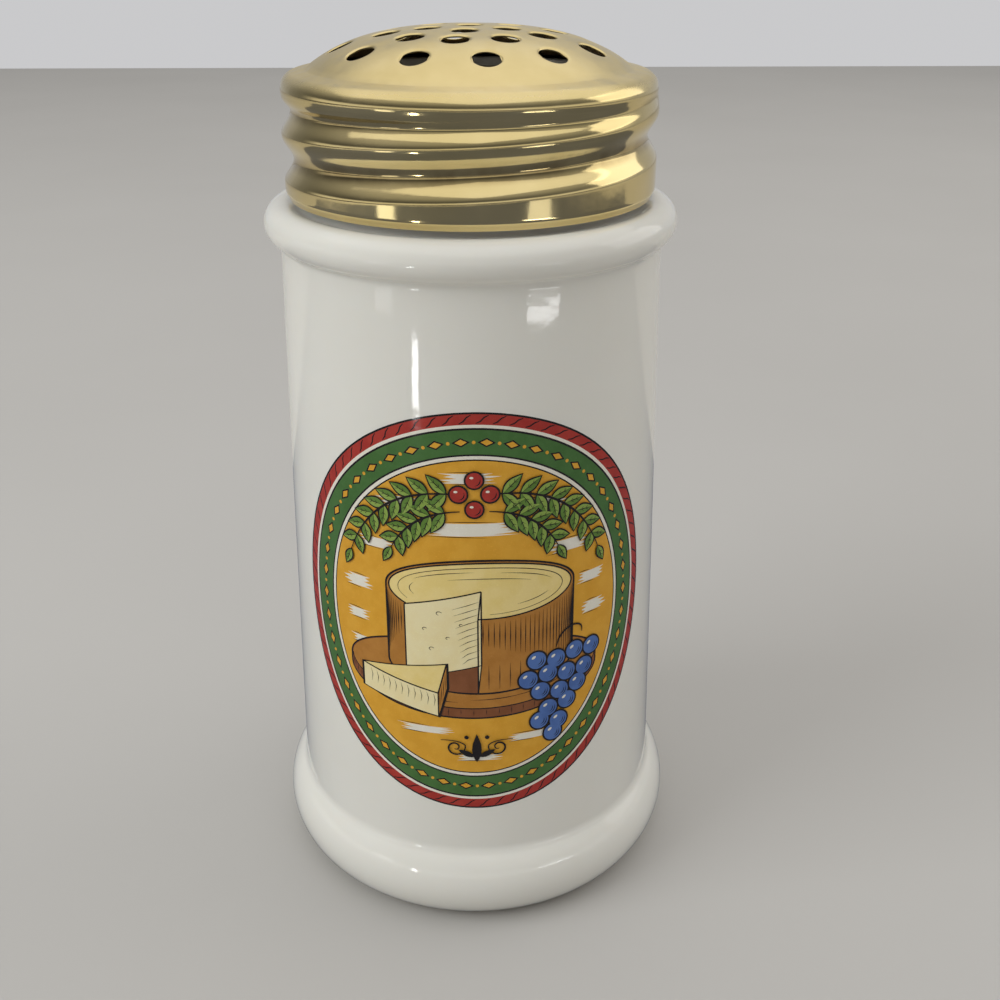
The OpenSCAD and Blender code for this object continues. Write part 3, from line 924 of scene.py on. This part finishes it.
# The dome is drawn flat as an even net of points that leaves the punched holes free, then domed.
holes = []
for radius, count, first in hole_rings:
    for i in range(count):
        turn = radians(first + 360 * i / count)
        holes.append((Vector((radius * sin(turn), -radius * cos(turn))), radius))
net, drops = [], []
for i in range(cap_sides):
    turn = 2 * pi * i / cap_sides
    net.append(Vector((dome_radius * cos(turn), dome_radius * sin(turn))))
    drops.append(0.0)
lines = [(i, (i + 1) % cap_sides) for i in range(cap_sides)]
for centre, radius in holes:
    squeeze = cos(dome_tilt(radius))
    outward = centre.normalized() if radius else Vector((1, 0))
    sideways = Vector((-outward.y, outward.x))
    for extra, drop in hole_lip:
        first = len(net)
        reach = hole_radius + extra
        for i in range(hole_points):
            turn = 2 * pi * i / hole_points
            point = centre + outward * reach * squeeze * cos(turn)
            net.append(point + sideways * reach * sin(turn))
            drops.append(drop)
        lines += [(first + i, first + (i + 1) % hole_points) for i in range(hole_points)]
clear = hole_radius + hole_lip[-1][0] + net_spacing * net_clear
net_rings = round(dome_radius / net_spacing)
for k in range(1, net_rings):
    radius = dome_radius * k / net_rings
    around_ring = max(6, round(2 * pi * radius / net_spacing))
    for i in range(around_ring):
        turn = 2 * pi * (i + 0.5 * (k % 2)) / around_ring
        point = Vector((radius * cos(turn), radius * sin(turn)))
        if all((point - centre).length > clear for centre, _ in holes):
            net.append(point)
            drops.append(0.0)
points, _, triangles, sources, _, _ = delaunay_2d_cdt(net, lines, [], 0, net_tolerance)
drop_of = [max((drops[i] for i in source), default=0.0, key=abs) for source in sources]
kept = []
in_hole = hole_radius * hole_inside
for triangle in triangles:
    middle = sum((points[i] for i in triangle), Vector((0, 0))) / 3
    if middle.length < dome_radius and all((middle - centre).length >= in_hole for centre, _ in holes):
        kept.append(triangle)
dome_mesh = bpy.data.meshes.new("dome")
dome_points = [(p.x, p.y, dome_height(p.length) + drop) for p, drop in zip(points, drop_of)]
dome_mesh.from_pydata(dome_points, [], kept)
take(new_object("dome", dome_mesh), cap)
bpy.ops.object.join()
bpy.ops.object.mode_set(mode="EDIT")
bpy.ops.mesh.select_all(action="SELECT")
bpy.ops.mesh.remove_doubles(threshold=dome_weld)
bpy.ops.mesh.delete_loose()
bpy.ops.mesh.select_all(action="SELECT")
bpy.ops.mesh.normals_make_consistent(inside=False)
bpy.ops.object.mode_set(mode="OBJECT")
top_face = max(cap.data.polygons, key=lambda polygon: polygon.center.z)
if top_face.normal.z < 0:
    cap.data.flip_normals()


def distance_from_axis(tree):
    """Distance from the object's axis, in metres."""
    place = tree.nodes.new("ShaderNodeTexCoord")
    flat = tree.nodes.new("ShaderNodeVectorMath")
    flat.operation = "MULTIPLY"
    flat.inputs[1].default_value = (1, 1, 0)
    length = tree.nodes.new("ShaderNodeVectorMath")
    length.operation = "LENGTH"
    tree.links.new(place.outputs["Object"], flat.inputs[0])
    tree.links.new(flat.outputs["Vector"], length.inputs[0])
    return length.outputs["Value"]


def worked_out(tree, operation, *values):
    """What a Math node makes of its values."""
    node = tree.nodes.new("ShaderNodeMath")
    node.operation = operation
    for value, socket in zip(values, node.inputs):
        tree.links.new(value, socket)
    return node.outputs["Value"]


def gold_material():
    """Gold lacquer on pressed sheet: a satin dome, a brighter skirt, and painted shade, dark brown, in the rolled
    valleys.
    """
    material, tree = new_material("gold_lacquer")
    gold = mixed(tree, remap(tree, grain(tree, 70, 4), 0.35, 0.65, 0, 1), *gold_colours)
    height = height_of(tree)
    # Painted shade: the skirt is darkened to brown, in patches, where it dips into the rolled valleys.
    on_skirt = remap(tree, height, rim_low - 0.0006, rim_low + 0.0004, 1, 0)
    deep = remap(tree, distance_from_axis(tree), roll_valley - 0.0001, roll_valley + 0.0008, 1, 0)
    valley_shade = worked_out(tree, "MULTIPLY", deep, on_skirt)
    patches = remap(tree, grain(tree, 210, 4), 0.3, 0.7, 0.25, 0.7)
    valley_shade = worked_out(tree, "MULTIPLY", valley_shade, patches)
    feed(tree, "Base Color", mixed(tree, valley_shade, gold, valley_shade_colour))
    feed(tree, "Metallic", 1.0)
    satin = remap(tree, height, crease_height - 0.0030, crease_height - 0.0002, *gold_roughness)
    vary = remap(tree, grain(tree, 320, 4, (1, 1, 0.35)), 0.3, 0.7, 0.85, 1.2)
    feed(tree, "Roughness", worked_out(tree, "MULTIPLY", satin, vary))
    shallow = dents(tree, grain(tree, 130), hammering, 0.25)
    fine = dents(tree, grain(tree, 900, 3, (1, 1, 0.25)), brushing, 0.25, shallow)
    feed(tree, "Normal", fine)
    return material


def inner_lacquer():
    """The cap's inside: a thin brown-gold size coat, dull and darker than the outside."""
    material, tree = new_material("inner_lacquer")
    feed(tree, "Base Color", mixed(tree, grain(tree, 150, 4), *lacquer_colours))
    feed(tree, "Metallic", 0.6)
    feed(tree, "Roughness", 0.5)
    feed(tree, "Normal", dents(tree, grain(tree, 900), brushing, 0.25))
    return material


cap.data.materials.append(gold_material())
cap.data.materials.append(inner_lacquer())
pressing = cap.modifiers.new("sheet", "SOLIDIFY")
pressing.thickness = sheet
pressing.offset = -1
pressing.material_offset = 1
bpy.ops.object.modifier_apply(modifier="sheet")
bpy.ops.object.shade_smooth_by_angle(angle=radians(40))
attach(cap, "cap")
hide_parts("screw_cap")

# The studio
# A plain pale table in soft daylight, with the camera where the photographer held it. A few window
# panes stand in front, because they are what gives glaze and gold their streaks of light.
camera_place = Vector((0, -0.2150, 0.1809))
camera_down = 0.4569
camera_left = -0.0243
camera_data = bpy.data.cameras.new("camera")
camera_data.lens = 42.44
camera_data.sensor_width = 36
camera_data.clip_start = 0.01
camera = new_object("camera", camera_data)
camera.location = camera_place
camera.rotation_euler = (pi / 2 - camera_down, 0, camera_left)
bpy.context.scene.camera = camera
bpy.context.scene.view_settings.view_transform = "Standard"

table_half = 1.5
table_colours = (0.50, 0.485, 0.460), (0.54, 0.525, 0.50)
card_colours = (0.135, 0.145, 0.185), (0.18, 0.19, 0.235)
card_height = 0.0004


def flat_sheet(name, low, high, height, colours):
    """A level, matt sheet that belongs to the studio."""
    mesh = bpy.data.meshes.new(name)
    mesh.from_pydata([(low[0], low[1], height), (high[0], low[1], height),
                      (high[0], high[1], height), (low[0], high[1], height)], [], [(0, 1, 2, 3)])
    level = new_object(name, mesh)
    material, tree = new_material("matt_" + name)
    feed(tree, "Base Color", mixed(tree, grain(tree, 6), *colours))
    feed(tree, "Roughness", 1.0)
    feed(tree, "Specular IOR Level", 0.0)
    mesh.materials.append(material)
    level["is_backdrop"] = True
    return level


flat_sheet("table", (-table_half, -table_half), (table_half, table_half), 0, table_colours)
# Gold needs something dark to mirror: a card that only shows in what shines.
card = flat_sheet("dark_card", (-0.7, -0.9), (0.7, 0.18), card_height, card_colours)
card.visible_camera = card.visible_diffuse = card.visible_shadow = False


def soft_light(name, place, target, width, tall, power, colour=(1, 1, 1)):
    """An area light that faces a point. It lights and shines, but isn't seen itself."""
    light = bpy.data.lights.new(name, "AREA")
    light.shape = "RECTANGLE"
    light.size = width
    light.size_y = tall
    light.energy = power
    light.color = colour
    lamp = new_object(name, light)
    lamp.location = place
    lamp.rotation_euler = (Vector(place) - Vector(target)).to_track_quat("Z", "Y").to_euler()
    lamp.visible_camera = False
    return lamp


def on_wall(angle, height):
    """A spot on the jar's wall, and the way that it faces."""
    turn = radians(angle)
    radius = wall_radius(height)
    spot = Vector((radius * sin(turn), -radius * cos(turn), height))
    return spot, Vector((sin(turn), -cos(turn), wall_slope)).normalized()


def on_band(angle):
    """A spot on the cap's plain band, and the way that it faces."""
    way = Vector((sin(radians(angle)), -cos(radians(angle)), 0))
    return way * roll_crest + Vector((0, 0, cap_low.z + band_height)), way


def shine_on(name, place, distance, width, tall, brightness):
    """A pane that only shines, placed where the camera sees it mirrored in a spot of the object."""
    spot, facing = place
    ray = (spot - camera_place).normalized()
    away = ray - 2 * ray.dot(facing) * facing
    pane = soft_light(name, spot + away * distance, spot, width, tall, brightness * pi * width * tall)
    pane.visible_diffuse = False


middle = Vector((0, 0, 0.08))
window_place = (-1.1, -0.5, 0.75)
soft_light("ceiling", (0.10, 0.10, 1.5), middle, 3.0, 3.0, 16, (1.0, 0.985, 0.96))
window = soft_light("left_window", window_place, middle, 0.8, 0.9, 8, (0.95, 0.98, 1.0))
window.visible_glossy = False
soft_light("left_frame", window_place, middle, 0.10, 0.9, 1.2).visible_diffuse = False
soft_light("right_bounce", (1.2, 0.3, 0.6), middle, 1.1, 0.7, 2.6, (1.0, 0.97, 0.93))
shine_on("middle_pane", on_wall(-15.6, 0.1145), 0.30, 0.020, 0.030, 14)
shine_on("right_pane", on_wall(19.2, 0.1247), 0.35, 0.125, 0.0085, 6.5)
shine_on("left_glow", on_band(-24), 0.35, 0.070, 0.050, 1.3)
shine_on("right_glow", on_band(19), 0.35, 0.090, 0.050, 0.8)

# The room: walls that are pale beyond the object and dim behind the camera, and a low strip of far
# windows from either side round behind the camera.
wall_greys = ((0.12, 0.12), (0.22, 0.18), (0.30, 0.30), (0.36, 0.55), (0.50, 0.70), (0.68, 0.66),
              (0.80, 0.55), (0.90, 0.26))
wall_behind = (0.157, 0.16, 0.170)
ceiling_colour = (0.64, 0.64, 0.64)
window_colour = (1.00, 0.99, 0.97)
seen_colour = (0.84, 0.84, 0.855)
world = bpy.data.worlds.new("studio")
bpy.context.scene.world = world
world.use_nodes = True
tree = world.node_tree
direction = tree.nodes.new("ShaderNodeTexCoord")
split = tree.nodes.new("ShaderNodeSeparateXYZ")
tree.links.new(direction.outputs["Generated"], split.inputs["Vector"])
up = split.outputs["Z"]
bearing = worked_out(tree, "ARCTAN2", split.outputs["X"], split.outputs["Y"])
room = tree.nodes.new("ShaderNodeValToRGB")
tree.links.new(remap(tree, bearing, -pi, pi, 0, 1), room.inputs["Fac"])
for share, grey in wall_greys:
    room.color_ramp.elements.new(share).color = (grey * 0.98, grey, grey * 1.06, 1)
room.color_ramp.elements[0].color = room.color_ramp.elements[-1].color = (*wall_behind, 1)
round_about = mixed(tree, remap(tree, up, 0.25, 0.8, 0, 1), room.outputs["Color"], ceiling_colour)
far_window = remap(tree, worked_out(tree, "ABSOLUTE", bearing), 1.05, 1.45, 0, 1)
for share in remap(tree, up, -0.05, 0.0, 0, 1), remap(tree, up, 0.10, 0.22, 1, 0):
    far_window = worked_out(tree, "MULTIPLY", far_window, share)
round_about = mixed(tree, far_window, round_about, window_colour)
seen = tree.nodes.new("ShaderNodeLightPath").outputs["Is Camera Ray"]
sky = tree.nodes["Background"]
tree.links.new(mixed(tree, seen, round_about, seen_colour), sky.inputs["Color"])
sky.inputs["Strength"].default_value = 0.7

size = {"cad_box": [list(corner) for corner in cad_box], "visual_box": [list(corner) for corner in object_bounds()]}
